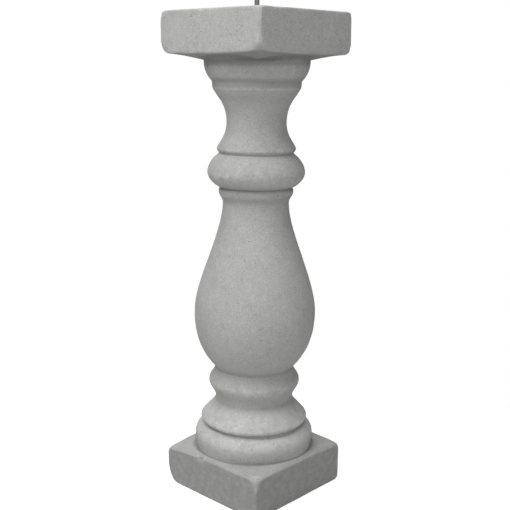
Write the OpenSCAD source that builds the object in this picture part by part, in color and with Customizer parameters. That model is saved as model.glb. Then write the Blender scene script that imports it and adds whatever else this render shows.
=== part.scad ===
// A turned baluster cast in one piece, with a steel rod cast into its head.
// Millimetres, Z up. The origin is the middle of the underside that it stands on.
// The shaft is a stack of mouldings. Each one has its own height and radius below,
// so the overall height is the sum of the heights.

/* [Plinth] */
// Width of the square plinth
plinth_w = 160; // [130:1:220]
// Height of the plinth
plinth_h = 52.5; // [20:0.5:120]
// Rounding of the plinth's upright corners
plinth_corner_r = 5; // [1:0.5:12]
// Rounding of the plinth's top edges
plinth_top_r = 6; // [1:0.5:12]
// Rounding of the plinth's bottom edges
plinth_foot_r = 4; // [1:0.5:12]

/* [Base mouldings] */
// Radius of the torus that lies on the plinth
torus_r = 76; // [64:0.5:85]
// Height of the torus
torus_h = 32.5; // [20:0.5:60]
// Radius at the foot of the torus, where it meets the plinth
torus_foot_r = 73; // [56:0.5:74]
// Radius of the crease between the torus and the bell
crease_r = 63.5; // [50:0.5:67]
// Radius of the bell moulding at its lip
bell_r = 68.5; // [66:0.5:80]
// Height of the bell moulding
bell_h = 33.5; // [24:0.5:50]
// Height of the bell's rounded lip
bell_lip_h = 8.5; // [3:0.5:12]
// Radius of the groove above the bell
low_groove_r = 49.5; // [40:0.5:55]
// Radius of the ring between the bell and the belly
ring_r = 58; // [52:0.5:70]
// Height of the ring
ring_h = 42; // [20:0.5:60]

/* [Belly and neck] */
// Radius of the groove under the belly
belly_groove_r = 49.5; // [40:0.5:55]
// Largest radius of the belly
belly_r = 76.5; // [60:0.5:80]
// Height from the groove to the widest part of the belly
belly_h = 71; // [50:0.5:110]
// Radius of the neck at its narrowest
neck_r = 41; // [30:0.5:46]
// Height from the widest part of the belly to the narrowest part of the neck
neck_h = 140; // [90:0.5:220]
// Radius of the collar above the neck
collar_r = 46.5; // [42:0.5:56]
// Height of the collar
collar_h = 20; // [8:0.5:30]

/* [Head mouldings] */
// Radius of the groove between the collar and the bulb
bulb_groove_r = 44.5; // [38:0.5:50]
// Radius of the bulb, the upper torus
bulb_r = 60.5; // [50:0.5:72]
// Height of the bulb
bulb_h = 38.5; // [20:0.5:60]
// Radius of the upright band above the bulb
lip_r = 48.5; // [40:0.5:54]
// Height of that band
lip_h = 8.5; // [4:0.5:16]
// Radius of the cove at its narrowest
cove_r = 36.5; // [28:0.5:44]
// Height of the cove
cove_h = 64.5; // [40:0.5:100]
// Radius of the fillet above the cove
fillet_r = 53.5; // [46:0.5:60]
// Height of the fillet, with the slope under it
fillet_h = 16; // [8:0.5:30]
// Radius of the quarter round under the cap
quarter_r = 64; // [56:0.5:76]
// Height of the quarter round
quarter_h = 30.5; // [16:0.5:50]

/* [Cap] */
// Width of the square cap
cap_w = 163; // [140:1:220]
// Height of the cap
cap_h = 50.5; // [20:0.5:100]
// Rounding of the cap's upright corners
cap_corner_r = 5; // [1:0.5:12]
// Rounding of the cap's top edges
cap_top_r = 5; // [1:0.5:12]
// Rounding of the cap's bottom edges
cap_under_r = 7; // [1:0.5:12]
// How far the cap's underside falls from its edge to the shaft
cap_fall = 6; // [0:0.5:10]

/* [Rod] */
// Diameter of the steel rod
rod_d = 6; // [4:0.5:16]
// Length of rod that stands out of the cap
rod_free = 60; // [20:1:150]
// Length of rod cast into the head
rod_set = 90; // [40:1:140]
// Chamfer on the rod's sheared ends
rod_chamfer = 0.6; // [0.2:0.1:1]
// Width of the ring scored round the rod to mark its set depth
score_w = 1; // [0.8:0.1:3]
// Depth of the scored ring
score_d = 0.3; // [0.2:0.05:0.6]

/* [Hidden] */
// Straight pieces in each curve of the turning template
curve_steps = 14;
// Straight pieces in each quarter of a block's rounding
corner_steps = 5;
$fn = 96;

// Heights of the joints between the mouldings, from the ground up
torus_z = plinth_h;
bell_z = torus_z + torus_h;
ring_z = bell_z + bell_h;
belly_z = ring_z + ring_h;
neck_z = belly_z + belly_h;
collar_z = neck_z + neck_h;
bulb_z = collar_z + collar_h;
lip_z = bulb_z + bulb_h;
cove_z = lip_z + lip_h;
fillet_z = cove_z + cove_h;
quarter_z = fillet_z + fillet_h;
cap_z = quarter_z + quarter_h;
total_h = cap_z + cap_h;

// Points of one cubic curve from a to b, without b. ha and hb are the handles at its ends.
function curve(a, ha, b, hb) = [
    for (i = [0 : curve_steps - 1])
        let (t = i / curve_steps, s = 1 - t)
            s * s * s * a + 3 * s * s * t * (a + ha) + 3 * s * t * t * (b + hb) + t * t * t * b
];

// The turning template: half of the shaft's outline, as [radius, height] points
function torus_outline() = let (
    foot = [torus_foot_r, torus_z],
    widest = [torus_r, torus_z + 0.52 * torus_h],
    crease = [crease_r, bell_z]
) concat(
    curve(foot, [0.68 * (torus_r - torus_foot_r), 0.14 * torus_h], widest, [0, -0.19 * torus_h]),
    curve(widest, [0, 0.3 * torus_h], crease, [0.56 * (torus_r - crease_r), -0.11 * torus_h])
);
function bell_outline() = let (
    crease = [crease_r, bell_z + 0.09 * bell_h],
    lip = [bell_r, bell_z + bell_lip_h],
    groove = [low_groove_r, ring_z]
) concat(
    [[crease_r, bell_z]],
    curve(crease, [0.8 * (bell_r - crease_r), 0], lip, [0, -0.3 * bell_lip_h]),
    curve(lip, [0, 0.13 * (bell_h - bell_lip_h)], groove, [0, -0.26 * (bell_h - bell_lip_h)])
);
function ring_outline() = let (
    low = [low_groove_r, ring_z],
    widest = [ring_r, ring_z + 0.56 * ring_h],
    high = [belly_groove_r, belly_z]
) concat(
    curve(low, [0, 0.28 * ring_h], widest, [0, -0.2 * ring_h]),
    curve(widest, [0, 0.14 * ring_h], high, [0.24 * (ring_r - belly_groove_r), -0.2 * ring_h])
);
function belly_outline() = let (
    groove = [belly_groove_r, belly_z],
    widest = [belly_r, neck_z],
    narrow = [neck_r, collar_z]
) concat(
    curve(groove, [0.2 * (belly_r - belly_groove_r), 0.11 * belly_h], widest, [0, -0.66 * belly_h]),
    curve(widest, [0, 0.3 * neck_h], narrow, [0, -0.28 * neck_h])
);
function collar_outline() = let (
    foot = [neck_r, collar_z],
    edge = [collar_r, collar_z + 0.8 * collar_h]
) curve(foot, [0.06 * (collar_r - neck_r), 0.4 * collar_h], edge, [0, -0.45 * collar_h]);
function bulb_outline() = let (
    collar_edge = [collar_r, collar_z + 0.8 * collar_h],
    low = [bulb_groove_r, bulb_z],
    widest = [bulb_r, bulb_z + 0.47 * bulb_h],
    high = [lip_r, lip_z]
) concat(
    [collar_edge],
    curve(low, [0.3 * (bulb_r - bulb_groove_r), 0], widest, [0, -0.24 * bulb_h]),
    curve(widest, [0, 0.2 * bulb_h], high, [0.4 * (bulb_r - lip_r), -0.06 * bulb_h])
);
function cove_outline() = let (
    low = [lip_r, cove_z],
    narrow = [cove_r, cove_z + 0.49 * cove_h],
    high = [0.91 * fillet_r, fillet_z]
) concat(
    [[lip_r, lip_z]],
    curve(low, [-0.14 * (lip_r - cove_r), 0.1 * cove_h], narrow, [0, -0.28 * cove_h]),
    curve(narrow, [0, 0.27 * cove_h], high, [-0.25 * (fillet_r - cove_r), -0.08 * cove_h]),
    [high]
);
function quarter_outline() = let (
    fillet_foot = [fillet_r, fillet_z + 0.48 * fillet_h],
    fillet_head = [fillet_r, quarter_z],
    widest = [quarter_r, quarter_z + 0.74 * quarter_h]
) concat(
    [fillet_foot],
    curve(fillet_head, [0.42 * (quarter_r - fillet_r), 0.1 * quarter_h], widest, [0, -0.4 * quarter_h]),
    [widest, [quarter_r, cap_z + cap_under_r]]
);

// One quarter of a round, as points about [x, y] with radius r, from angle a0 on
function quarter_round(x, y, r, a0) = [
    for (i = [0 : corner_steps])
        let (a = a0 + 90 * i / corner_steps) [x + r * cos(a), y + r * sin(a)]
];

// Outline of a block seen from the side: width w, height h, rounded by r_low and r_high.
// Its underside falls by fall on the way in from its edges to half width flat.
function side_outline(w, h, r_low, r_high, fall, flat) = concat(
    quarter_round(w / 2 - r_low, r_low, r_low, -90),
    quarter_round(w / 2 - r_high, h - r_high, r_high, 0),
    quarter_round(-w / 2 + r_high, h - r_high, r_high, 90),
    quarter_round(-w / 2 + r_low, r_low, r_low, 180),
    fall > 0 ? [[-flat, -fall], [flat, -fall]] : []
);

// A square block standing at height z, with every edge rounded
module block(z, w, h, r_corner, r_low, r_high, fall = 0, flat = 0) {
    side = side_outline(w, h, r_low, r_high, fall, flat);
    plan = side_outline(w, w, r_corner, r_corner, 0, 0);
    translate([0, 0, z])
        intersection() {
            translate([0, -w / 2, -fall])
                linear_extrude(h + fall)
                    polygon(plan);
            for_side(w) polygon(side);
            rotate([0, 0, 90]) for_side(w) polygon(side);
        }
}

// Extrudes an outline that lies in X and Z right through a block of width w
module for_side(w) {
    translate([0, w, 0])
        rotate([90, 0, 0])
            linear_extrude(2 * w)
                children();
}

module baluster() {
    color([0.66, 0.66, 0.66])
        difference() {
            union() {
                block(0, plinth_w, plinth_h, plinth_corner_r, plinth_foot_r, plinth_top_r);
                rotate_extrude()
                    polygon(concat(
                        [[0, torus_z - plinth_top_r / 2], [torus_foot_r, torus_z - plinth_top_r / 2]],
                        torus_outline(),
                        bell_outline(),
                        ring_outline(),
                        belly_outline(),
                        collar_outline(),
                        bulb_outline(),
                        cove_outline(),
                        quarter_outline(),
                        [[0, cap_z + cap_under_r]]
                    ));
                block(cap_z, cap_w, cap_h, cap_corner_r, cap_under_r, cap_top_r,
                    cap_fall, quarter_r / sqrt(2));
            }
            rod_hole();
        }
}

// The blind hole that the rod leaves in the head
module rod_hole() {
    translate([0, 0, total_h - rod_set])
        cylinder(d = rod_d, h = rod_set + 1);
}

module steel_rod() {
    r = rod_d / 2;
    low = total_h - rod_set;
    high = total_h + rod_free;
    color([0.3, 0.29, 0.28])
        rotate_extrude()
            polygon([
                [0, low],
                [r - rod_chamfer, low],
                [r, low + rod_chamfer],
                [r, total_h],
                [r - score_d, total_h],
                [r - score_d, total_h + score_w],
                [r, total_h + score_w],
                [r, high - rod_chamfer],
                [r - rod_chamfer, high],
                [0, high]
            ]);
}

baluster();
steel_rod();
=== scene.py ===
import math
from collections import namedtuple
from itertools import accumulate

import bpy
import numpy as np
from bpy.props import FloatProperty, FloatVectorProperty, IntProperty, PointerProperty
from mathutils import Matrix, Vector


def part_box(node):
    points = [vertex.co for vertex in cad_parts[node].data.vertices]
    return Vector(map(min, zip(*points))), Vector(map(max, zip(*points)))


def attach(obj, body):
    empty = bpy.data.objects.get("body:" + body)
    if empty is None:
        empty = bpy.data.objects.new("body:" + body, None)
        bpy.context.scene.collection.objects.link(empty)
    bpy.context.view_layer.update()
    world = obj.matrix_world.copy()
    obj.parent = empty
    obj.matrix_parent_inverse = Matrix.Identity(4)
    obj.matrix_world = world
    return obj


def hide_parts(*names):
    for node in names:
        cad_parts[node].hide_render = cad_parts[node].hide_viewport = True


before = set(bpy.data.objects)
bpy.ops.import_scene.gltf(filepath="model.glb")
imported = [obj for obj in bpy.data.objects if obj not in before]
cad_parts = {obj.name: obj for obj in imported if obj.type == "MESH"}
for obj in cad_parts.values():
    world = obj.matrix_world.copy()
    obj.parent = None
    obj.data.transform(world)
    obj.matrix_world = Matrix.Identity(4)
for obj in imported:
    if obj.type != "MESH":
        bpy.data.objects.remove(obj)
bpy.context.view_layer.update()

bl_info = {
    "name": "Cast Baluster",
    "version": (1, 0, 0),
    "blender": (4, 5, 0),
    "location": "3D View > Sidebar > Baluster",
    "description": "Finished surfaces for a turned baluster cast in cement, with a steel rod in its head",
    "category": "Object",
}

MM = 0.001
WHITE = (1.0, 1.0, 1.0, 1.0)
CASTING_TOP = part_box("baluster")[1].z
ROD_LOW, ROD_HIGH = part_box("steel_rod")
ROD_R = (ROD_HIGH.x - ROD_LOW.x) / 2
HOLE_R = ROD_R + 0.03 * MM

# A block's upright corners, in the order in which its outline passes them
CORNERS = np.array([(1, -1), (1, 1), (-1, 1), (-1, -1)], float)

# Points round the casting, rings up its turned shaft, and small chips along its blocks' edges
AROUND = 284
SHAFT_RINGS = 232
SMALL_CHIPS = 16

# Shares of the way from a block's edge to the round that meets it, closest together at the edge
FACE_STEPS = np.array([0.02, 0.045, 0.075, 0.11, 0.155, 0.21, 0.28, 0.36, 0.46, 0.57, 0.69, 0.81, 0.91, 1.0])

# Rings from a block's edge along its side, closest together at the edge
EDGE_STEPS = np.array([0, 0.8, 1.7, 2.8, 4.2, 6, 8.5, 11.5]) * MM

# The rod's sheared end: rings by their share of its radius, and how far each is drawn down
ROD_END = ((1.0, 0.9 * MM), (0.985, 0.45 * MM), (0.93, 0.12 * MM), (0.6, 0.0), (0.25, 0.0))

# Each lamp's name, its direction round and up in degrees, its power in watts and its width
LAMPS = (
    ("key_lamp", -188, 52, 17.8, 1.0),
    ("top_lamp", -140, 70, 7.7, 0.7),
    ("front_lamp", -130, 30, 9.9, 0.7),
    ("back_lamp", 56, 24, 11.5, 1.0),
)
LAMP_DISTANCE = 1.8
ROOM_LIGHT = 0.115
FLOOR_REACH = 6.0


def length(name, description, default):
    """A size in metres, given here in millimetres."""
    return FloatProperty(name=name, description=description, default=default * MM, min=0.0, unit="LENGTH")


def corner_lengths(name, description, default):
    """A size for each of a block's four upright corners, given here in millimetres."""
    return FloatVectorProperty(
        name=name, description=description, size=4, default=[value * MM for value in default],
        min=0.0, unit="LENGTH",
    )


def colour(name, description, default):
    """A linear colour."""
    return FloatVectorProperty(
        name=name, description=description, size=3, default=default, min=0.0, max=1.0, subtype="COLOR",
    )


class BalusterPlinth(bpy.types.PropertyGroup):
    """The square block that the baluster stands on."""

    width: length("Width", "Width of the block", 160)
    height: length("Height", "Height of the block at the middle of its sides", 52.5)
    edge: length("Edge radius", "Rounding of the top edges", 2.6)
    foot_edge: length("Foot edge radius", "Rounding of the bottom edges", 1.2)
    upright_edge: corner_lengths("Upright edge radius", "Rounding of the four upright edges", (2, 3, 3, 3.4))
    top_wear: corner_lengths("Top wear", "How far each top corner is worn back", (3, 6, 5, 9))
    foot_wear: corner_lengths("Foot wear", "How far each bottom corner is worn back", (2, 5, 10, 4))
    foot_wear_height: corner_lengths("Foot wear height", "Height of each bottom corner's wear", (2, 5, 19, 4))
    top_sag: corner_lengths("Top sag", "How far each top corner lies below the sides", (3.5, 3, 8.2, 1.5))
    crown: length("Crown", "Rise of the top at the middle of its sides", 0.9)
    seat_rise: length("Seat rise", "Rise of the top from its edge to the torus", 1.6)


class BalusterShaft(bpy.types.PropertyGroup):
    """The turned mouldings, from the plinth up."""

    torus_r: length("Torus", "Radius of the torus on the plinth", 76)
    torus_h: length("Torus height", "Height of the torus", 32.5)
    torus_foot_r: length("Torus foot", "Radius where the torus meets the plinth", 74)
    crease_r: length("Crease", "Radius of the crease over the torus", 63)
    bell_r: length("Bell", "Radius of the bell at its lip", 68.5)
    bell_h: length("Bell height", "Height of the bell", 33.5)
    bell_lip_h: length("Bell lip", "Height of the bell's rounded lip", 8.5)
    low_groove_r: length("Low groove", "Radius of the groove over the bell", 49.5)
    ring_r: length("Ring", "Radius of the ring under the belly", 58)
    ring_h: length("Ring height", "Height of the ring", 42)
    belly_groove_r: length("Belly groove", "Radius of the groove under the belly", 49.4)
    belly_r: length("Belly", "Largest radius of the belly", 76.4)
    belly_h: length("Belly height", "Height from the groove to the widest part of the belly", 71)
    neck_r: length("Neck", "Radius of the neck at its narrowest", 41)
    neck_h: length("Neck height", "Height from the belly's widest part to the neck's narrowest", 140)
    collar_r: length("Collar", "Radius of the collar over the neck", 46.5)
    collar_h: length("Collar height", "Height of the collar", 20)
    bulb_groove_r: length("Bulb groove", "Radius of the groove under the bulb", 44.5)
    bulb_r: length("Bulb", "Radius of the bulb, the upper torus", 60.4)
    bulb_h: length("Bulb height", "Height of the bulb", 38.5)
    lip_r: length("Band", "Radius of the upright band over the bulb", 48.6)
    lip_h: length("Band height", "Height of that band", 8.5)
    quirk: length("Quirk", "Depth of the narrow cut in that band", 3.2)
    cove_r: length("Cove", "Radius of the cove at its narrowest", 36.6)
    cove_h: length("Cove height", "Height of the cove", 64.5)
    fillet_r: length("Fillet", "Radius of the fillet over the cove", 53.5)
    fillet_h: length("Fillet height", "Height of the fillet and the slope under it", 16)
    quarter_r: length("Quarter round", "Radius of the quarter round under the cap", 64)
    quarter_h: length("Quarter round height", "Height of the quarter round", 30.5)
    softness: length("Softness", "How far the cast edges of the mouldings are blurred", 0.7)
    bow: length("Bow", "How far the shaft stands off its axis at the top, toward the first corner", 0.7)


class BalusterCap(bpy.types.PropertyGroup):
    """The square block that the handrail lies on."""

    width: length("Width", "Width of the block", 163)
    height: length("Height", "Height of the block at its edges", 50.5)
    edge: length("Edge radius", "Rounding of the top edges", 2.4)
    under_edge: length("Bottom edge radius", "Rounding of the bottom edges", 2.4)
    upright_edge: corner_lengths("Upright edge radius", "Rounding of the four upright edges", (6, 4, 3, 4))
    top_wear: corner_lengths("Top wear", "How far each top corner is worn back", (6, 6, 5, 2.5))
    under_wear: corner_lengths("Bottom wear", "How far each bottom corner is worn back", (9, 8, 10, 13))
    under_lift: corner_lengths("Bottom lift", "How far each bottom corner lies above the sides", (1, 1, 1, 3))
    fall: length("Fall", "How far the underside falls from its edge to the shaft", 6.2)


class BalusterCement(bpy.types.PropertyGroup):
    """The cast cement's surface and colour."""

    body: colour("Cement", "Colour of the cement", (0.41, 0.41, 0.405))
    pale: colour("Worn cement", "Colour of the rubbed edges and of the bloom on the base", (0.58, 0.58, 0.57))
    lime: colour("Lime", "Colour of the small white flecks", (0.72, 0.72, 0.71))
    # Also the colour of the painted shade on faces that look down, in hollows and under overhangs, and of the
    # darker plinth sides.
    dark: colour("Damp cement", "Colour of its darker patches and of the foot", (0.27, 0.27, 0.265))
    # Painted shade in the creases and on the undersides, and the colour of the air holes.
    shade_and_holes: colour("Grime", "Colour in creases and air holes", (0.15, 0.15, 0.147))
    swell: length("Swell", "Height of the broad unevenness of the cast faces", 0.4)
    ripple: length("Ripple", "Height of the finer unevenness", 0.14)
    wander: length("Wander", "How far the moulding lines stray from level", 0.5)
    seed: IntProperty(name="Seed", description="Picks one casting's unevenness and chips", default=7)


class BalusterRod(bpy.types.PropertyGroup):
    """The steel rod in the head."""

    steel: colour("Steel", "Colour of the bare rod", (0.15, 0.147, 0.143))
    rust: colour("Rust", "Colour of the rust by the cement", (0.17, 0.13, 0.105))
    burr: length("Burr", "Height of the sheared end's slope", 0.7)
    sides: IntProperty(name="Sides", description="Facets round the rod", default=48, min=12)


class BalusterStage(bpy.types.PropertyGroup):
    """Where the picture is taken from, and its light."""

    distance: length("Distance", "Level distance from the camera to the baluster's axis", 1071.5)
    azimuth: FloatProperty(
        name="Azimuth", description="Turn of the camera round the baluster, from its -Y side",
        default=math.radians(-46.6), subtype="ANGLE",
    )
    eye: length("Eye height", "Height of the camera over the floor", 536.8)
    pitch: FloatProperty(
        name="Pitch", description="How far the camera looks down",
        default=math.radians(12.25), subtype="ANGLE",
    )
    roll: FloatProperty(
        name="Roll", description="Lean of the camera",
        default=math.radians(0.44), subtype="ANGLE",
    )
    lens: FloatProperty(
        name="Lens", description="Focal length on a 36 mm sensor", default=61.53, unit="CAMERA",
    )
    floor: colour("Floor", "Colour of the floor", (0.8, 0.8, 0.8))


# ---------------------------------------------------------------- shapes


def curve(a, handle_a, b, handle_b):
    """Close points of one cubic curve from a to b, without b. Handles are offsets from its ends."""
    a, b = np.array(a), np.array(b)
    t = np.linspace(0, 1, 80, endpoint=False)[:, None]
    c, d = a + handle_a, b + handle_b
    return (1 - t) ** 3 * a + 3 * (1 - t) ** 2 * t * c + 3 * (1 - t) * t**2 * d + t**3 * b


Heights = namedtuple("Heights", "torus bell ring belly neck collar bulb band cove fillet quarter cap")


def moulding_heights(plinth, shaft):
    """The height at which each moulding starts. The neck's is that of the belly's widest part."""
    s = shaft
    steps = (s.torus_h, s.bell_h, s.ring_h, s.belly_h, s.neck_h, s.collar_h, s.bulb_h, s.lip_h, s.cove_h,
             s.fillet_h, s.quarter_h)
    return Heights(*accumulate(steps, initial=plinth.height))


def turning_template(plinth, shaft):
    """Half of the shaft's outline, as close points of (radius, height)."""
    s = shaft
    z = moulding_heights(plinth, shaft)
    quirk_z = z.band + 0.3 * s.lip_h

    torus = (s.torus_r, z.torus + 0.52 * s.torus_h)
    lip = (s.bell_r, z.bell + s.bell_lip_h)
    ring = (s.ring_r, z.ring + 0.56 * s.ring_h)
    collar = (s.collar_r, z.collar + 0.8 * s.collar_h)
    bulb = (s.bulb_r, z.bulb + 0.47 * s.bulb_h)
    cove = (s.cove_r, z.cove + 0.49 * s.cove_h)
    cove_head = (0.91 * s.fillet_r, z.fillet)
    fillet_head = (s.fillet_r + 0.7 * MM, z.quarter)
    quarter = (s.quarter_r, z.quarter + 0.74 * s.quarter_h)
    bell_rise = s.bell_h - s.bell_lip_h
    curves = [
        curve((s.torus_foot_r, z.torus), (0.68 * (s.torus_r - s.torus_foot_r), 0.14 * s.torus_h),
              torus, (0, -0.19 * s.torus_h)),
        curve(torus, (0, 0.3 * s.torus_h),
              (s.crease_r, z.bell), (0.56 * (s.torus_r - s.crease_r), -0.11 * s.torus_h)),
        curve((s.crease_r, z.bell + 0.09 * s.bell_h), (0.8 * (s.bell_r - s.crease_r), 0),
              lip, (0, -0.3 * s.bell_lip_h)),
        curve(lip, (0, 0.13 * bell_rise), (s.low_groove_r, z.ring), (0, -0.26 * bell_rise)),
        curve((s.low_groove_r, z.ring), (0, 0.28 * s.ring_h), ring, (0, -0.2 * s.ring_h)),
        curve(ring, (0, 0.14 * s.ring_h),
              (s.belly_groove_r, z.belly), (0.24 * (s.ring_r - s.belly_groove_r), -0.2 * s.ring_h)),
        curve((s.belly_groove_r, z.belly), (0.2 * (s.belly_r - s.belly_groove_r), 0.11 * s.belly_h),
              (s.belly_r, z.neck), (0, -0.66 * s.belly_h)),
        curve((s.belly_r, z.neck), (0, 0.3 * s.neck_h), (s.neck_r, z.collar), (0, -0.28 * s.neck_h)),
        curve((s.neck_r, z.collar), (0.06 * (s.collar_r - s.neck_r), 0.4 * s.collar_h),
              collar, (0, -0.45 * s.collar_h)),
        curve(collar, (0, 0.05 * s.collar_h), (s.bulb_groove_r, z.bulb), (0, -0.05 * s.collar_h)),
        curve((s.bulb_groove_r, z.bulb), (0.3 * (s.bulb_r - s.bulb_groove_r), 0),
              bulb, (0, -0.24 * s.bulb_h)),
        curve(bulb, (0, 0.2 * s.bulb_h),
              (s.lip_r, z.band), (0.4 * (s.bulb_r - s.lip_r), -0.06 * s.bulb_h)),
        curve((s.lip_r, z.band), (-0.3 * s.quirk, 0.2 * s.lip_h), (s.lip_r - s.quirk, quirk_z), (0, 0)),
        curve((s.lip_r - s.quirk, quirk_z), (0, 0.1 * s.lip_h), (s.lip_r, z.cove), (0, -0.35 * s.lip_h)),
        curve((s.lip_r, z.cove), (-0.14 * (s.lip_r - s.cove_r), 0.1 * s.cove_h),
              cove, (0, -0.28 * s.cove_h)),
        curve(cove, (0, 0.27 * s.cove_h), cove_head, (-0.25 * (s.fillet_r - s.cove_r), -0.08 * s.cove_h)),
        curve(cove_head, (0, 0), (s.fillet_r, z.fillet + 0.48 * s.fillet_h), (0, 0)),
        curve((s.fillet_r, z.fillet + 0.48 * s.fillet_h), (0, 0), fillet_head, (0, 0)),
        curve(fillet_head, (0.36 * (s.quarter_r - s.fillet_r), 0.1 * s.quarter_h),
              quarter, (0, -0.36 * s.quarter_h)),
        curve(quarter, (0, 0), (s.quarter_r, z.cap), (0, 0)),
    ]
    return np.concatenate(curves)


def along(path):
    """Distance along a path of points, starting from 0."""
    return np.concatenate([[0], np.cumsum(np.linalg.norm(np.diff(path, axis=0), axis=1))])


def running_sum(density, s):
    """Running sum of a density over distance."""
    return np.concatenate([[0], np.cumsum((density[1:] + density[:-1]) / 2 * np.diff(s))])


def cast_softly(path, softness):
    """The path at even small steps, with its sharp corners blurred as a casting's are."""
    step = 0.25 * MM
    s = along(path)
    even = np.arange(0, s[-1], step)
    fine = np.stack([np.interp(even, s, path[:, axis]) for axis in range(2)], 1)
    reach = int(4 * softness / step)
    weights = np.exp(-0.5 * (np.arange(-reach, reach + 1) * step / softness) ** 2)
    # the path runs on past each end by its own mirrored course, so that the ends stay put
    padded = np.pad(fine, ((reach, reach), (0, 0)), "edge")
    ends = [2 * fine[0] - fine[reach:0:-1], 2 * fine[-1] - fine[-2:-reach - 2:-1]]
    padded[:reach], padded[-reach:] = ends
    return np.stack([np.convolve(padded[:, axis], weights / weights.sum(), "valid") for axis in range(2)], 1)


def hollows(path, reach):
    """Heights up the turned outline, and how deep each lies in a hollow about as wide as the reach."""
    broad = cast_softly(path, reach)
    fine = cast_softly(path, 0.2 * MM)
    along_path = np.gradient(fine, axis=0)
    outward = np.stack([along_path[:, 1], -along_path[:, 0]], 1)
    outward /= np.linalg.norm(outward, axis=1, keepdims=True)
    upward = np.argsort(fine[:, 1])
    return fine[upward, 1], ((broad - fine) * outward).sum(1)[upward]


def stations(path, count):
    """A number of points of the path, closest together where it bends most."""
    spread, crowding_length, sharpest = 12, 9 * MM, 0.5 / MM
    s = along(path)
    heading = np.unwrap(np.arctan2(*np.gradient(path, axis=0).T))
    bend = np.abs(np.gradient(heading, s))
    bend = np.convolve(bend, np.ones(spread) / spread, "same")
    crowding = running_sum(1 + crowding_length * np.minimum(bend, sharpest), s)
    wanted = np.linspace(0, crowding[-1], count)
    at = np.interp(wanted, crowding, s)
    return np.stack([np.interp(at, s, path[:, axis]) for axis in range(2)], 1)


def unit_square(count):
    """Points round a square of half width 1, from its first corner, closest together at its corners."""
    u = np.linspace(-1, 1, count // 4, endpoint=False)
    t = (np.sign(u) * (1 - (1 - np.abs(u)) ** 1.5))[:, None]
    sides = []
    for start, end in zip(CORNERS, np.roll(CORNERS, -1, axis=0)):
        sides.append((start + end) / 2 + (end - start) / 2 * t)
    return np.concatenate(sides)


def unit_circle(count):
    """Evenly spaced points round a circle, the first one facing a block's first corner."""
    angle = -math.pi / 4 + np.arange(count) * 2 * math.pi / count
    return np.stack([np.cos(angle), np.sin(angle)], 1)


def ring_at(outline, height):
    """A closed ring of points at one height, or at a height for each point."""
    return np.concatenate([outline, np.broadcast_to(np.reshape(height, (-1, 1)), (len(outline), 1))], 1)


def noise(points, size, seed):
    """Smooth noise from -1 to 1 with lumps of a given size."""
    cells, clear_of_zero = 32, 100
    table = np.random.default_rng(seed).uniform(-1, 1, (cells, cells, cells))
    q = points / size + clear_of_zero
    cell = np.floor(q).astype(int)
    f = q - cell
    f = f * f * (3 - 2 * f)
    total = 0
    for corner in np.ndindex(2, 2, 2):
        weight = np.prod(np.where(corner, f, 1 - f), axis=-1)
        x, y, z = np.moveaxis((cell + corner) % cells, -1, 0)
        total = total + weight * table[x, y, z]
    return total


def corner_cuts(half, z, upward, run, rise):
    """A cutting plane for each upright corner at height z: its outward direction and its offset."""
    cuts = []
    for (x, y), along_edge, up_edge in zip(CORNERS, run, rise):
        slope = np.array([x / along_edge, y / along_edge, upward / up_edge])
        size = np.linalg.norm(slope)
        cuts.append((slope / size, np.dot(slope / size, (x * half, y * half, z)) - 1 / size))
    return cuts


def outside_block(points, half, low, high, radius, cuts):
    """How far points lie outside a block with rounded edges and worn corners."""
    x, y, z = np.moveaxis(points, -1, 0)
    beyond = np.stack([np.abs(x) - half, np.abs(y) - half, np.maximum(low - z, z - high)], -1)
    away = np.linalg.norm(np.maximum(beyond + radius[..., None], 0), axis=-1) - radius
    blend = 5 * MM
    for direction, offset in cuts:
        over = points @ direction - offset
        overlap = np.maximum(blend - np.abs(away - over), 0) / blend
        away = np.maximum(away, over) + overlap**2 * blend / 4
    return away


def corner_nearness(points, half, corner):
    """1 at one upright corner of a block, down to 0 along the two sides that don't meet there."""
    x, y = corner[0] * points[..., 0] / half, corner[1] * points[..., 1] / half
    return np.clip((1 + x) * (1 + y) / 4, 0, 1)


def soften_block(points, half, low, high, low_edge, high_edge, upright_edge, cuts, seed):
    """Draws a sharp block's surface points in to its rounded edges and worn corners."""
    x, y, z = np.moveaxis(points, -1, 0)
    end = np.minimum(z - low, high - z) / (high - low) * 2
    edge = low_edge + (high_edge - low_edge) * np.clip((z - low) / (high - low), 0, 1)
    radius = edge
    # close to an upright edge the rounding is that edge's own
    for (side_x, side_y), upright in zip(CORNERS, upright_edge):
        near = np.clip(np.minimum(side_x * x, side_y * y) / half, 0, 1) ** 12
        radius = radius + (upright - edge) * near * np.clip(6 * end, 0, 1)
    radius = radius * (1 + 0.45 * noise(points, 12 * MM, seed))

    # each point moves toward a core inside the block until it lies on the worn surface, found by halving
    depth, halvings = 15 * MM, 22
    reach = half - depth
    core = np.clip(points, (-reach, -reach, low + depth), (reach, reach, high - depth))
    inside, outside = np.zeros(x.shape), np.full(x.shape, 1.001)
    for _ in range(halvings):
        middle = (inside + outside) / 2
        trial = core + (points - core) * middle[..., None]
        beyond = outside_block(trial, half, low, high, radius, cuts) > 0
        outside, inside = np.where(beyond, middle, outside), np.where(beyond, inside, middle)
    return core + (points - core) * inside[..., None]


def side_heights(low, high):
    """Heights up a block's side, closest together at its edges."""
    middle = np.linspace(low + 15 * MM, high - 15 * MM, 7)
    return np.concatenate([low + EDGE_STEPS, middle, (high - EDGE_STEPS)[::-1]])


def face_rings(square, half, circle, radius, height):
    """Rings across a block's top or bottom, from its edge in to a round."""
    return [ring_at((1 - t) * half * square + t * radius * circle, height) for t in FACE_STEPS]


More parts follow.
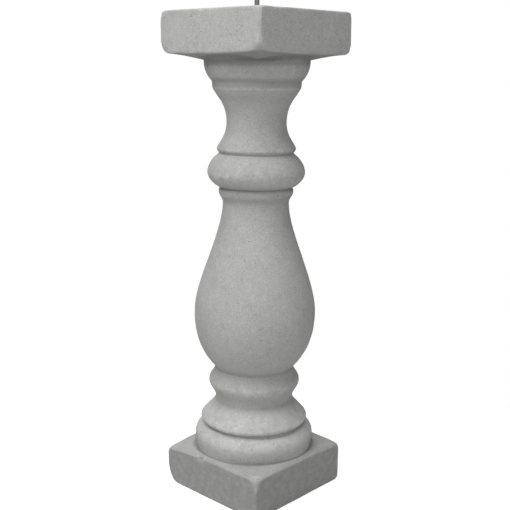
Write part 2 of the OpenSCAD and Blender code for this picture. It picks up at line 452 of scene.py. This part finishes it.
def plinth_rings(plinth, shaft, square, circle, seed):
    """The plinth from the middle of its underside to the foot of the torus."""
    half, high = plinth.width / 2, plinth.height
    underside = face_rings(square, half, circle, 8 * MM, 0.0)[::-1]
    sides = [ring_at(half * square, z) for z in side_heights(0, high)]
    top = face_rings(square, half, circle, shaft.torus_foot_r, high)
    points = np.array(underside + sides + top)
    cuts = corner_cuts(half, 0, -1, plinth.foot_wear, plinth.foot_wear_height)
    cuts += corner_cuts(half, high, 1, plinth.top_wear, plinth.top_wear)
    points = soften_block(
        points, half, 0, high, plinth.foot_edge, plinth.edge, plinth.upright_edge, cuts, seed)
    points[-1, :, :2] = shaft.torus_foot_r * circle

    x, y, z = np.moveaxis(points, -1, 0)
    lift = np.full(x.shape, plinth.crown)
    for corner, sag in zip(CORNERS, plinth.top_sag):
        lift = lift - (sag + plinth.crown) * corner_nearness(points, half, corner) ** 2.5
    inward = np.clip(1 - np.maximum(np.abs(x), np.abs(y)) / half, 0, 1) / (1 - shaft.torus_foot_r / half)
    on_top = np.clip(z / high, 0, 1) ** 4
    z = z + on_top * (lift + plinth.seat_rise * np.clip(inward, 0, 1))
    return np.stack([x, y, z], -1)


def cap_rings(cap, shaft, square, circle, bow, seed):
    """The cap from the top of the quarter round over its top and down the rod's hole."""
    half, low, high = cap.width / 2, CASTING_TOP - cap.height, CASTING_TOP
    under = face_rings(square, half, circle + bow / shaft.quarter_r, shaft.quarter_r, low)[::-1]
    sides = [ring_at(half * square, z) for z in side_heights(low, high)]
    top = face_rings(square, half, circle, HOLE_R + 2.5 * MM, high)
    points = np.array(under + sides + top)
    cuts = corner_cuts(half, low, -1, cap.under_wear, cap.under_wear)
    cuts += corner_cuts(half, high, 1, cap.top_wear, cap.top_wear)
    points = soften_block(
        points, half, low, high, cap.under_edge, cap.edge, cap.upright_edge, cuts, seed)

    # the underside falls to the shaft, steepest where it runs into the quarter round
    level_edge = half - 8 * MM
    flat = shaft.quarter_r / math.sqrt(2)
    spread = np.maximum(np.abs(points[..., 0]), np.abs(points[..., 1]))
    inward = np.clip((level_edge - spread) / (level_edge - flat), 0, 1)
    under_side = np.clip(1 - (points[..., 2] - low) / (4 * MM), 0, 1)
    points[..., 2] -= cap.fall * inward**1.5 * under_side
    lower_part = np.clip(1 - (points[..., 2] - low) / (25 * MM), 0, 1)
    for corner, lift in zip(CORNERS, cap.under_lift):
        points[..., 2] += lift * corner_nearness(points, half, corner) ** 4 * lower_part

    # a low rim of cement where it crept up the rod
    rim = [ring_at((HOLE_R + 1.2 * MM) * circle, high + 0.25 * MM), ring_at(HOLE_R * circle, high + 0.7 * MM)]
    hole = [ring_at(HOLE_R * circle, z) for z in np.linspace(high - 1 * MM, ROD_LOW.z, 4)]
    return np.concatenate([points, rim, hole])


def grid_normals(points):
    """Outward unit normals of a grid of rings."""
    up = np.gradient(points, axis=0)
    around = np.roll(points, -1, axis=1) - np.roll(points, 1, axis=1)
    normal = np.cross(around, up)
    return normal / np.maximum(np.linalg.norm(normal, axis=-1, keepdims=True), 1e-12)


def ridge_height(points, rounds):
    """How far each point stands out of the surface round it: positive on edges, negative in creases."""
    smooth = points.copy()
    for _ in range(rounds):
        padded = np.concatenate([smooth[:1], smooth, smooth[-1:]])
        smooth = (padded[:-2] + padded[2:] + np.roll(smooth, 1, 1) + np.roll(smooth, -1, 1)) / 4
    return ((points - smooth) * grid_normals(points)).sum(-1)


def chip(points, normals, place, radius, depth):
    """Takes a small shallow flake off the surface round a place."""
    away = np.linalg.norm(points - place, axis=-1) / radius
    # each place has a ragged rim of its own
    rim_seed = int(1e4 * abs(place[0]) + 1e5 * abs(place[2]))
    rim = away * (1 + 0.35 * noise(points, radius * 0.6, rim_seed))
    points -= normals * (depth * np.clip(1 - rim**2, 0, 1))[..., None]


def take_chips(points, plinth, cap, seed):
    """One larger flake off the plinth's top edge, and small ones along both blocks' edges."""
    normals = grid_normals(points)
    chip(points, normals, (-plinth.width / 2, 18 * MM, plinth.height - 1 * MM), 6.5 * MM, 2.4 * MM)
    draw = np.random.default_rng(seed)
    for _ in range(SMALL_CHIPS):
        if draw.random() < 0.6:
            block, z = plinth, draw.choice([0.0, plinth.height])
        else:
            block, z = cap, draw.choice([CASTING_TOP - cap.height, CASTING_TOP])
        place = [draw.uniform(-0.9, 0.9) * block.width / 2, block.width / 2 * draw.choice([-1, 1])]
        if draw.random() < 0.5:
            place.reverse()
        chip(points, normals, (*place, z), draw.uniform(2.5, 5) * MM, draw.uniform(0.3, 0.8) * MM)


def uneven_share(points):
    """1 where the casting may be uneven, down to 0 at its underside, its top and the rod's hole."""
    x, y, z = np.moveaxis(points, -1, 0)
    share = np.clip(z / (10 * MM), 0, 1) * np.clip((CASTING_TOP - z) / (6 * MM), 0, 1)
    return share * np.clip((np.hypot(x, y) - HOLE_R) / (8 * MM), 0, 1)


def uneven(points, cement):
    """The broad and fine unevenness of a hand-finished casting."""
    share = uneven_share(points)
    normals = grid_normals(points)
    swell = cement.swell * noise(points, 70 * MM, cement.seed)
    swell = swell + 0.5 * cement.swell * noise(points, 30 * MM, cement.seed + 1)
    ripple = cement.ripple * noise(points, 9 * MM, cement.seed + 2)
    # the lines stray in lumps wider than they are high
    stretched = points * (1, 1, 2.5)
    wander = cement.wander * noise(stretched, 90 * MM, cement.seed + 3)
    points = points + normals * (share * (swell + ripple))[..., None]
    points[..., 2] += share * wander
    return points


def shaft_rings(plinth, shaft, cap, circle, bow):
    """The turned shaft between the blocks, and how deep in a hollow each of its rings lies."""
    under = CASTING_TOP - cap.height
    path = cast_softly(turning_template(plinth, shaft), shaft.softness)
    height = path[:, 1]
    path = path[(height > plinth.height + plinth.seat_rise + 2 * MM) & (height < under - cap.fall)]
    rings = np.array([ring_at(r * circle, z) for r, z in stations(path, SHAFT_RINGS)])
    # the bow grows over the lower half and stays to the top
    rise = np.clip((rings[..., 2:] - plinth.height) / (under - plinth.height) * 2, 0, 1)
    rings[..., :2] += bow * rise**2
    return rings, np.interp(rings[:, 0, 2], *hollows(path, 7 * MM))


def casting_rings(plinth, shaft, cap, cement):
    """The whole casting, from under its foot to the bottom of the rod's hole, and its rings' hollows."""
    square, circle = unit_square(AROUND), unit_circle(AROUND)
    bow = shaft.bow * CORNERS[0] / math.sqrt(2)
    foot = plinth_rings(plinth, shaft, square, circle, cement.seed + 4)
    turned, hollow = shaft_rings(plinth, shaft, cap, circle, bow)
    head = cap_rings(cap, shaft, square, circle, bow, cement.seed + 5)
    hollow = np.concatenate([np.zeros(len(foot)), hollow, np.zeros(len(head))])
    points = uneven(np.concatenate([foot, turned, head]), cement)
    take_chips(points, plinth, cap, cement.seed + 6)
    return points, hollow


def casting_marks(points, hollow, plinth, shaft, cap):
    """Where the cement carries painted shade, where it is rubbed, and where the plinth's sides are darker:
    names, and a value for each point.
    """
    facing_up = grid_normals(points)[..., 2]
    z = moulding_heights(plinth, shaft)
    # bands of painted shadow under the bulb, the quarter round and the cap: height, share and reach
    bands = (
        (z.bulb - 0.4 * shaft.collar_h, 0.6, 7 * MM),
        (z.quarter - 0.25 * shaft.fillet_h, 0.75, 7 * MM),
        (z.cap - cap.fall - 4 * MM, 0.7, 4.5 * MM),
    )
    # painted shade: darker on faces that look down, in the shaft's hollows and in the bands above
    shade_mask = 1.2 * np.clip(-facing_up - 0.35, 0, 1) + hollow[:, None] / (5 * MM)
    for height, share, reach in bands:
        shade_mask += share * np.exp(-((points[..., 2] - height) / reach) ** 2)
    # the plinth's sides below its top are painted darker
    by_foot = np.clip((plinth.height - points[..., 2]) / (4 * MM), 0, 1)
    return {
        "shade_mask": shade_mask,
        # painted shade on the faces that look straight down
        "underside": -5 * facing_up - 4,
        "arris": ridge_height(points, 4) / (0.45 * MM),
        # painted shade in the creases
        "crease": -ridge_height(points, 5) / (0.8 * MM),
        "foot": by_foot * np.clip(1 - 2 * facing_up, 0, 1),
    }


def closed_grid(name, points, bottom, top):
    """A closed mesh of quads between rings, with a fan to a middle point at each end."""
    rings, count = points.shape[:2]
    verts = np.concatenate([points.reshape(-1, 3), [bottom, top]])
    index = np.arange(rings * count).reshape(rings, count)
    after = np.roll(index, -1, axis=1)
    quads = np.stack([index[:-1], after[:-1], after[1:], index[1:]], -1).reshape(-1, 4)
    low, high = rings * count, rings * count + 1
    fans = [(low, int(b), int(a)) for a, b in zip(index[0], after[0])]
    fans += [(high, int(a), int(b)) for a, b in zip(index[-1], after[-1])]
    mesh = bpy.data.meshes.new(name)
    mesh.from_pydata(verts.tolist(), [], quads.tolist() + fans)
    mesh.validate()
    mesh.shade_smooth()
    piece = bpy.data.objects.new(name, mesh)
    bpy.context.scene.collection.objects.link(piece)
    return piece


def surface_value(piece, name, values):
    """Stores a number from 0 to 1 for each point of a closed grid, for its material to read."""
    attribute = piece.data.attributes.new(name, "FLOAT", "POINT")
    ends = np.zeros(2)
    every = np.concatenate([np.clip(values, 0, 1).ravel(), ends])
    attribute.data.foreach_set("value", every.astype(np.float32))


# ---------------------------------------------------------------- finishes


class Wire:
    """An output socket that can be used in sums."""

    def __init__(self, tree, socket):
        self.tree, self.socket = tree, socket

    def maths(self, operation, a, b):
        """The result of one Math node."""
        return self.tree.node("ShaderNodeMath", {"operation": operation}, {0: a, 1: b})

    def __add__(self, other):
        return self.maths("ADD", self, other)

    def __sub__(self, other):
        return self.maths("SUBTRACT", self, other)

    def __rsub__(self, other):
        return self.maths("SUBTRACT", other, self)

    def __mul__(self, other):
        return self.maths("MULTIPLY", self, other)

    __radd__, __rmul__ = __add__, __mul__


class Tree:
    """A node tree and the ways its nodes are made."""

    def __init__(self, graph):
        self.graph = graph

    def node(self, kind, settings, inputs, output=0):
        """Makes a node, with its settings and its sockets' values or links, and gives one of its outputs."""
        made = self.graph.nodes.new(kind)
        for name, value in settings.items():
            setattr(made, name, value)
        for name, value in inputs.items():
            self.feed(made.inputs[name], value)
        return Wire(self, made.outputs[output])

    def feed(self, socket, value):
        """Links a wire to a socket, or sets the socket to a plain value."""
        if isinstance(value, Wire):
            self.graph.links.new(value.socket, socket)
        else:
            socket.default_value = value

    def background_rays(self):
        """1 for the rays that should meet a white background: seen, mirrored or let through."""
        kinds = ("Is Camera Ray", "Is Glossy Ray", "Is Transmission Ray")
        return sum(self.node("ShaderNodeLightPath", {}, {}, kind) for kind in kinds)


class Finish(Tree):
    """One material, with the nodes that its colours are made of."""

    def __init__(self, name):
        self.material = bpy.data.materials.new(name)
        self.material.use_nodes = True
        super().__init__(self.material.node_tree)
        self.shader = self.graph.nodes["Principled BSDF"]
        self.place = self.node("ShaderNodeTexCoord", {}, {}, "Object")

    def noise(self, size, detail=2.0, roughness=0.5):
        """Noise from 0 to 1 with lumps of a given size."""
        inputs = {"Vector": self.place, "Scale": 1 / size, "Detail": detail, "Roughness": roughness}
        return self.node("ShaderNodeTexNoise", {}, inputs)

    def ramp(self, value, low, high, bottom=0.0, top=1.0):
        """A value taken smoothly from bottom at low to top at high."""
        inputs = {0: value, 1: low, 2: high, 3: bottom, 4: top}
        return self.node("ShaderNodeMapRange", {"interpolation_type": "SMOOTHSTEP"}, inputs)

    def mix(self, share, a, b):
        """Colour a turned to colour b by a share. The Mix node's colours are sockets 6, 7 and 2."""
        return self.node("ShaderNodeMix", {"data_type": "RGBA"}, {0: share, 6: a, 7: b}, 2)

    def show(self, name, value):
        """Feeds one socket of the surface shader."""
        self.feed(self.shader.inputs[name], value)

    def attribute(self, name):
        """A value stored at the mesh's points."""
        return self.node("ShaderNodeAttribute", {"attribute_name": name}, {}, "Fac")


def opaque(value):
    """A colour property with full alpha."""
    return (*value, 1.0)


def cement_finish(cement):
    """Sand and cement: mottled, pale on its rubbed edges, with small air holes, and with painted shade in its
    creases, on faces that look down and under its overhangs.
    """
    finish = Finish("cast_cement")
    arris = finish.attribute("arris")
    crease = finish.attribute("crease")
    shade_mask = finish.attribute("shade_mask")
    underside = finish.attribute("underside")
    foot = finish.attribute("foot")

    # unevenness of the mix, from broad clouds down to single grains
    cloud = finish.noise(40 * MM, 3.0)
    patch = finish.noise(9 * MM, 4.0, 0.6)
    grain = finish.noise(1.5 * MM, 3.0, 0.65)
    sand = finish.noise(0.45 * MM, 1.0)
    fleck = finish.noise(2.6 * MM, 2.0, 0.7)

    # air holes, in about a quarter of the cells
    cells = {"Vector": finish.place, "Scale": 1 / (8 * MM), "Randomness": 1.0}
    hole_away = finish.node("ShaderNodeTexVoronoi", {}, cells, "Distance")
    hole_luck = finish.node("ShaderNodeTexVoronoi", {}, cells, "Color")
    luck = finish.node("ShaderNodeSeparateColor", {}, {0: hole_luck})
    hole = finish.ramp(hole_away, 0.07, 0.14, 1.0, 0.0) * finish.ramp(luck, 0.72, 0.8)

    # a pale bloom round the base mouldings
    height = finish.node("ShaderNodeSeparateXYZ", {}, {0: finish.place}, 2)
    bloom = finish.ramp(height + (cloud - 0.5) * (8 * MM), 105 * MM, 118 * MM, 1.0, 0.0)
    bloom = bloom * finish.ramp(height, 60 * MM, 80 * MM) * finish.ramp(patch, 0.3, 0.6, 0.5, 1.0)

    tone = (cloud - 0.5) * 0.5 + (patch - 0.5) * 0.8 + (grain - 0.5) * 2.6 + (sand - 0.5) * 0.7
    paler = finish.ramp(arris + (patch - 0.5) * 0.9, 0.5, 1.1) * 0.6
    flecked = finish.ramp(fleck + (cloud - 0.5) * 0.3 + bloom * 0.16, 0.76, 0.83) * 0.7
    # painted shade in the creases
    darker = finish.ramp(crease + (patch - 0.5) * 0.5, 0.2, 1.1) * 0.5
    # painted shade on faces that look down, in hollows and under overhangs
    shade_share = finish.ramp(shade_mask + (patch - 0.5) * 0.4, 0.05, 1.0) * 0.65

    # what lies over the plain cement, from the first layer to the last
    layers = (
        (finish.ramp(tone, 0.0, 0.6, 0.0, 0.6), cement.pale),
        (finish.ramp(tone, -0.6, 0.0, 0.7, 0.0), cement.dark),
        (bloom * 0.62, cement.pale),
        (paler, cement.pale),
        (flecked, cement.lime),
        # darker over the plinth's sides below its top
        (foot * finish.ramp(patch, 0.3, 0.7, 0.9, 0.6), cement.dark),
        # painted shade on faces that look down, in hollows and under overhangs
        (shade_share, cement.dark),
        # painted shade on the undersides
        (underside * 0.35, cement.shade_and_holes),
        # painted shade in the creases
        (darker, cement.shade_and_holes),
        (hole * 0.6, cement.shade_and_holes),
    )
    colour = opaque(cement.body)
    for share, layer in layers:
        colour = finish.mix(share, colour, opaque(layer))

    relief = grain * 0.7 + sand * 0.3 + patch * 0.8 - hole * 1.6
    bump = {"Strength": 0.6, "Distance": 0.4 * MM, "Height": relief}
    finish.show("Base Color", colour)
    finish.show("Roughness", finish.ramp(grain, 0.3, 0.7, 0.82, 0.95))
    finish.show("Specular IOR Level", 0.25)
    finish.show("Normal", finish.node("ShaderNodeBump", {}, bump))
    return finish.material


def steel_finish(rod):
    """Dull mill-finished steel, rusting where it leaves the cement."""
    finish = Finish("rod_steel")
    scale = finish.noise(2.2 * MM, 4.0, 0.65)
    streak = finish.noise(0.6 * MM, 2.0)
    height = finish.node("ShaderNodeSeparateXYZ", {}, {0: finish.place}, 2)
    ragged = height + (scale - 0.5) * (12 * MM)
    by_cement = finish.ramp(ragged, CASTING_TOP, CASTING_TOP + 14 * MM, 1.0, 0.15)
    rusted = by_cement * finish.ramp(scale, 0.35, 0.62)
    finish.show("Base Color", finish.mix(rusted, opaque(rod.steel), opaque(rod.rust)))
    finish.show("Metallic", finish.ramp(rusted, 0.1, 0.7, 0.75, 0.05))
    finish.show("Roughness", finish.ramp(rusted + streak * 0.3, 0.1, 0.9, 0.48, 0.9))
    bump = {"Strength": 0.4, "Distance": 0.08 * MM, "Height": scale + streak * 0.5}
    finish.show("Normal", finish.node("ShaderNodeBump", {}, bump))
    return finish.material


def pale_floor_finish(stage):
    """A pale floor that is plain white to the camera, apart from the baluster's soft shadow."""
    finish = Finish("pale_floor")
    finish.show("Base Color", opaque(stage.floor))
    finish.show("Roughness", 0.9)
    finish.show("Specular IOR Level", 0.1)
    plain = Wire(finish, finish.shader.outputs[0])
    seen = finish.background_rays()
    glow = finish.node("ShaderNodeEmission", {}, {"Color": WHITE, "Strength": 0.6})
    backdrop = finish.node("ShaderNodeEmission", {}, {"Color": WHITE, "Strength": 1.0})
    lit = finish.node("ShaderNodeAddShader", {}, {0: plain, 1: glow})
    away = finish.node("ShaderNodeVectorMath", {"operation": "LENGTH"}, {0: finish.place}, 1)
    far = finish.ramp(away, 200 * MM, 500 * MM)
    shown = finish.node("ShaderNodeMixShader", {}, {0: far, 1: lit, 2: backdrop})
    surface = finish.node("ShaderNodeMixShader", {}, {0: seen, 1: plain, 2: shown})
    finish.feed(finish.graph.nodes["Material Output"].inputs["Surface"], surface)
    return finish.material


# ---------------------------------------------------------------- operators


class BALUSTER_OT_casting(bpy.types.Operator):
    """Builds the casting: plinth, turned shaft and cap in one piece"""

    bl_idname = "baluster.casting"
    bl_label = "Casting"

    def execute(self, context):
        scene = context.scene
        plinth, shaft, cap = scene.baluster_plinth, scene.baluster_shaft, scene.baluster_cap
        points, hollow = casting_rings(plinth, shaft, cap, scene.baluster_cement)
        piece = closed_grid("baluster_casting", points, (0.0, 0.0, 0.0), (0.0, 0.0, ROD_LOW.z))
        for name, values in casting_marks(points, hollow, plinth, shaft, cap).items():
            surface_value(piece, name, values)
        piece.data.materials.append(cement_finish(scene.baluster_cement))
        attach(piece, "root")
        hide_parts("baluster")
        return {"FINISHED"}


class BALUSTER_OT_rod(bpy.types.Operator):
    """Builds the steel rod that stands in the head"""

    bl_idname = "baluster.rod"
    bl_label = "Rod"

    def execute(self, context):
        rod = context.scene.baluster_rod
        circle = unit_circle(rod.sides)
        low, high, bevel = ROD_LOW.z, ROD_HIGH.z, 0.6 * MM
        heights = np.concatenate([[low, low + bevel], np.linspace(low + 2 * MM, high - 2 * MM, 70)])
        radii = np.concatenate([[ROD_R - bevel], np.full(len(heights) - 1, ROD_R)])
        rings = [ring_at(r * circle, z) for r, z in zip(radii, heights)]
        # the sheared end slopes a little, and its edge is drawn down
        slope = rod.burr * (circle[:, 0] - 1) / 2
        for share, drop in ROD_END:
            rings.append(ring_at(share * ROD_R * circle, high + slope * share - drop))
        points = np.array(rings)
        free = np.clip((points[..., 2] - CASTING_TOP) / (2 * MM), 0, 1)
        pitting = -0.03 * MM * np.clip(noise(points, 1.6 * MM, 11), 0, 1)
        points = points + grid_normals(points) * (free * pitting)[..., None]
        piece = closed_grid("steel_rod_bar", points, (0.0, 0.0, low), (0.0, 0.0, high - rod.burr / 2))
        piece.data.materials.append(steel_finish(rod))
        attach(piece, "root")
        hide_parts("steel_rod")
        return {"FINISHED"}


class BALUSTER_OT_stage(bpy.types.Operator):
    """Sets the floor, the lamps and the camera"""

    bl_idname = "baluster.stage"
    bl_label = "Stage"

    def execute(self, context):
        stage = context.scene.baluster_stage
        self.lay_floor(stage)
        self.set_world(context.scene)
        for lamp in LAMPS:
            self.hang_lamp(*lamp)
        self.set_camera(context.scene, stage)
        context.scene.view_settings.view_transform = "Standard"
        return {"FINISHED"}

    def lay_floor(self, stage):
        """A square floor under the baluster."""
        corners = [(x * FLOOR_REACH, y * FLOOR_REACH, 0) for x, y in ((-1, -1), (1, -1), (1, 1), (-1, 1))]
        mesh = bpy.data.meshes.new("floor")
        mesh.from_pydata(corners, [], [(0, 1, 2, 3)])
        mesh.materials.append(pale_floor_finish(stage))
        floor = bpy.data.objects.new("floor", mesh)
        bpy.context.scene.collection.objects.link(floor)

    def set_world(self, scene):
        """White to the camera, and a dim even light for the rest."""
        world = bpy.data.worlds.new("soft_room")
        scene.world = world
        world.use_nodes = True
        tree = Tree(world.node_tree)
        tree.graph.nodes.remove(tree.graph.nodes["Background"])
        room = tree.node("ShaderNodeBackground", {}, {"Color": WHITE, "Strength": ROOM_LIGHT})
        white = tree.node("ShaderNodeBackground", {}, {"Color": WHITE, "Strength": 1.0})
        shown = tree.node("ShaderNodeMixShader", {}, {0: tree.background_rays(), 1: room, 2: white})
        tree.feed(tree.graph.nodes["World Output"].inputs["Surface"], shown)

    def hang_lamp(self, name, azimuth, elevation, power, size):
        """A square soft lamp that faces the middle of the casting."""
        light = bpy.data.lights.new(name, "AREA")
        light.shape, light.size, light.energy = "SQUARE", size, power
        lamp = bpy.data.objects.new(name, light)
        turn, tilt = math.radians(azimuth), math.radians(elevation)
        out = Vector((math.cos(turn) * math.cos(tilt), math.sin(turn) * math.cos(tilt), math.sin(tilt)))
        lamp.location = Vector((0, 0, CASTING_TOP / 2)) + out * LAMP_DISTANCE
        lamp.rotation_euler = out.to_track_quat("Z", "Y").to_euler()
        bpy.context.scene.collection.objects.link(lamp)

    def set_camera(self, scene, stage):
        """A level turn round the baluster, then a look down and a small lean."""
        data = bpy.data.cameras.new("camera")
        data.lens = stage.lens
        data.sensor_width = 36.0
        camera = bpy.data.objects.new("camera", data)
        out = Vector((math.sin(stage.azimuth), -math.cos(stage.azimuth), 0))
        ahead = (-math.cos(stage.pitch) * out) - Vector((0, 0, math.sin(stage.pitch)))
        look = ahead.to_track_quat("-Z", "Y").to_matrix()
        turn = look @ Matrix.Rotation(stage.roll, 3, "Z")
        place = out * stage.distance + Vector((0, 0, stage.eye))
        camera.matrix_world = Matrix.Translation(place) @ turn.to_4x4()
        scene.collection.objects.link(camera)
        scene.camera = camera


class BALUSTER_PT_sidebar(bpy.types.Panel):
    """Lists the pieces and their sizes"""

    bl_idname = "BALUSTER_PT_sidebar"
    bl_label = "Baluster"
    bl_space_type = "VIEW_3D"
    bl_region_type = "UI"
    bl_category = "Baluster"

    def draw(self, context):
        for operator, groups in PIECES:
            box = self.layout.box()
            box.operator(operator.bl_idname)
            for group in groups:
                settings = getattr(context.scene, group)
                for name in settings.__annotations__:
                    box.prop(settings, name)


# Each operator, with the settings that it uses
PIECES = (
    (BALUSTER_OT_casting, ("baluster_plinth", "baluster_shaft", "baluster_cap", "baluster_cement")),
    (BALUSTER_OT_rod, ("baluster_rod",)),
    (BALUSTER_OT_stage, ("baluster_stage",)),
)
GROUPS = {
    "baluster_plinth": BalusterPlinth,
    "baluster_shaft": BalusterShaft,
    "baluster_cap": BalusterCap,
    "baluster_cement": BalusterCement,
    "baluster_rod": BalusterRod,
    "baluster_stage": BalusterStage,
}
CLASSES = (*GROUPS.values(), BALUSTER_OT_casting, BALUSTER_OT_rod, BALUSTER_OT_stage, BALUSTER_PT_sidebar)


def register():
    for cls in CLASSES:
        bpy.utils.register_class(cls)
    for name, cls in GROUPS.items():
        setattr(bpy.types.Scene, name, PointerProperty(type=cls))


def unregister():
    for name in GROUPS:
        delattr(bpy.types.Scene, name)
    for cls in reversed(CLASSES):
        bpy.utils.unregister_class(cls)


def main():
    register()
    bpy.ops.baluster.stage()
    bpy.ops.baluster.casting()
    bpy.ops.baluster.rod()


if __name__ == "__main__":
    main()
